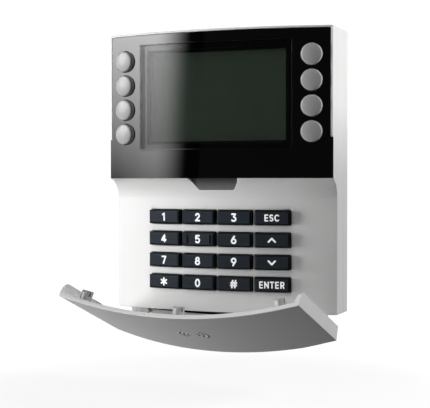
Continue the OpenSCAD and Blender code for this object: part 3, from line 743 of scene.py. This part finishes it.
def build_lights():
    """The main light from the left, a fill from above, and two lights on the right side."""
    soft_lamp("key_left", azimuth=-62, elevation=-3, distance=0.9, size=(0.45, 0.6), power=9.4,
              target=(0, -0.02, 0))
    soft_lamp("front_high", azimuth=-10, elevation=48, distance=0.9, size=(0.6, 0.6), power=2.2)
    soft_lamp("side_right", azimuth=108, elevation=30, distance=0.8, size=(0.3, 0.3), power=5.5,
              target=(0.055, 0, 0))
    edge_spot()


def emitter(name):
    """A material that only glows, its nodes and its strength socket."""
    mat = bpy.data.materials.new(name)
    mat.use_nodes = True
    tree = mat.node_tree
    tree.nodes.clear()
    glow = tree.nodes.new("ShaderNodeEmission")
    out = tree.nodes.new("ShaderNodeOutputMaterial")
    tree.links.new(glow.outputs["Emission"], out.inputs["Surface"])
    return mat, tree, glow.inputs["Strength"]


def staged_mesh(name, bm, material, mirrored=False):
    """Paper round the object: seen by the camera, or only mirrored in the object's gloss."""
    mesh = bpy.data.meshes.new(name)
    bm.to_mesh(mesh)
    bm.free()
    mesh.materials.append(material)
    obj = linked(name, mesh)
    obj.visible_camera = not mirrored
    obj.visible_glossy = mirrored
    obj.visible_diffuse = False
    obj.visible_transmission = False
    obj.visible_shadow = False
    return obj


def card_glow(peak):
    """Brightest at the left and top, dying away towards the right edge and the bottom."""
    dark_x, bright_x = 0.18, -0.01
    dark_y, bright_y = -0.06, 0.15
    mat, tree, strength = emitter("card_glow")
    axes = local_axes(tree)
    across = ramp(tree, axes["X"], dark_x, bright_x, 0, peak)
    upward = ramp(tree, axes["Y"], dark_y, bright_y, 0, 1, "LINEAR")
    tree.links.new(product(tree, across, upward), strength)
    return mat


def build_card():
    """The bright card whose reflection lies over the left of the black panel."""
    left, right, bottom, top = -0.4, 0.25, -0.2, 0.45
    azimuth, distance, lean = -43, 0.8, -10
    bm = bmesh.new()
    corners = ((left, bottom, 0), (right, bottom, 0), (right, top, 0), (left, top, 0))
    bm.faces.new([bm.verts.new(corner) for corner in corners])
    card = staged_mesh("reflected_card", bm, card_glow(peak=12), mirrored=True)
    card.matrix_world = (Matrix.Translation(away(azimuth, 0) * distance)
                         @ Matrix.Rotation(math.radians(azimuth), 4, "Z")
                         @ Matrix.Rotation(math.radians(90), 4, "X")
                         @ Matrix.Rotation(math.radians(lean), 4, "Z"))


def floor_paper():
    """Pale paper that glows, a little less under the object: a painted shadow there, over the faint real shadow
    that the lamps cast.
    """
    under, clear = 0.08, 0.2                        # metres from the floor's middle
    # painted shadow: the glow is lower near the floor's middle, under the object
    painted_shadow_glow, clear_glow = 0.87, 1.03
    mat, tree, shader = new_material("floor_paper", (0.14, 0.14, 0.14), 0.9,
                                     specular_ior_level=0.0)
    shader.inputs["Emission Color"].default_value = (1, 1, 1, 1)
    place = tree.nodes.new("ShaderNodeTexCoord")
    reach = tree.nodes.new("ShaderNodeVectorMath")
    reach.operation = "LENGTH"
    tree.links.new(place.outputs["Object"], reach.inputs[0])
    glow = ramp(tree, reach.outputs["Value"], under, clear, painted_shadow_glow, clear_glow)
    tree.links.new(glow, shader.inputs["Emission Strength"])
    return mat


def build_floor():
    """A round sheet of paper, a little below the open flap."""
    bm = bmesh.new()
    bmesh.ops.create_circle(bm, cap_ends=True, segments=96, radius=0.6)
    floor = staged_mesh("floor", bm, floor_paper())
    floor.location = (0, -0.03, -0.101)


def build_backdrop():
    """White all round, behind the object from every side."""
    mat, _, strength = emitter("backdrop_glow")
    strength.default_value = 1.05
    bm = bmesh.new()
    bmesh.ops.create_uvsphere(bm, u_segments=48, v_segments=24, radius=8)
    staged_mesh("backdrop", bm, mat)


def build_world():
    """Nearly black above, where the gloss mirrors it, and paler below."""
    upper, lower, upper_glow, lower_glow = -0.12, -0.6, 0.05, 0.15
    world = bpy.data.worlds.new("studio")
    world.use_nodes = True
    tree = world.node_tree
    height = local_axes(tree, "Generated")["Z"]
    glow = ramp(tree, height, upper, lower, upper_glow, lower_glow)
    tree.links.new(glow, tree.nodes["Background"].inputs["Strength"])
    tree.nodes["Background"].inputs["Color"].default_value = (1, 1, 1, 1)
    bpy.context.scene.world = world
    bpy.context.scene.view_settings.view_transform = "Standard"


def build_camera():
    """The photograph's viewing angle, from a perspective fit of the case and its keys."""
    place = Vector((191.199, -513.370, -4.650)) * MM
    yaw, pitch = math.radians(21.524), math.radians(-1.123)
    data = bpy.data.cameras.new("camera")
    data.sensor_width = 36
    data.lens = 94.945
    data.clip_start, data.clip_end = 0.01, 100
    cam = linked("camera", data)
    cam.location = place
    look = Vector((-math.sin(yaw) * math.cos(pitch), math.cos(yaw) * math.cos(pitch),
                   math.sin(pitch)))
    cam.rotation_euler = look.to_track_quat("-Z", "Y").to_euler()
    bpy.context.scene.camera = cam


finish_nodes()
finish_edges()
build_legends()
engraved_symbol()
flap_gap_shade()
lens_bead()
build_shade_rings()
build_world()
build_lights()
build_card()
build_floor()
build_backdrop()
build_camera()
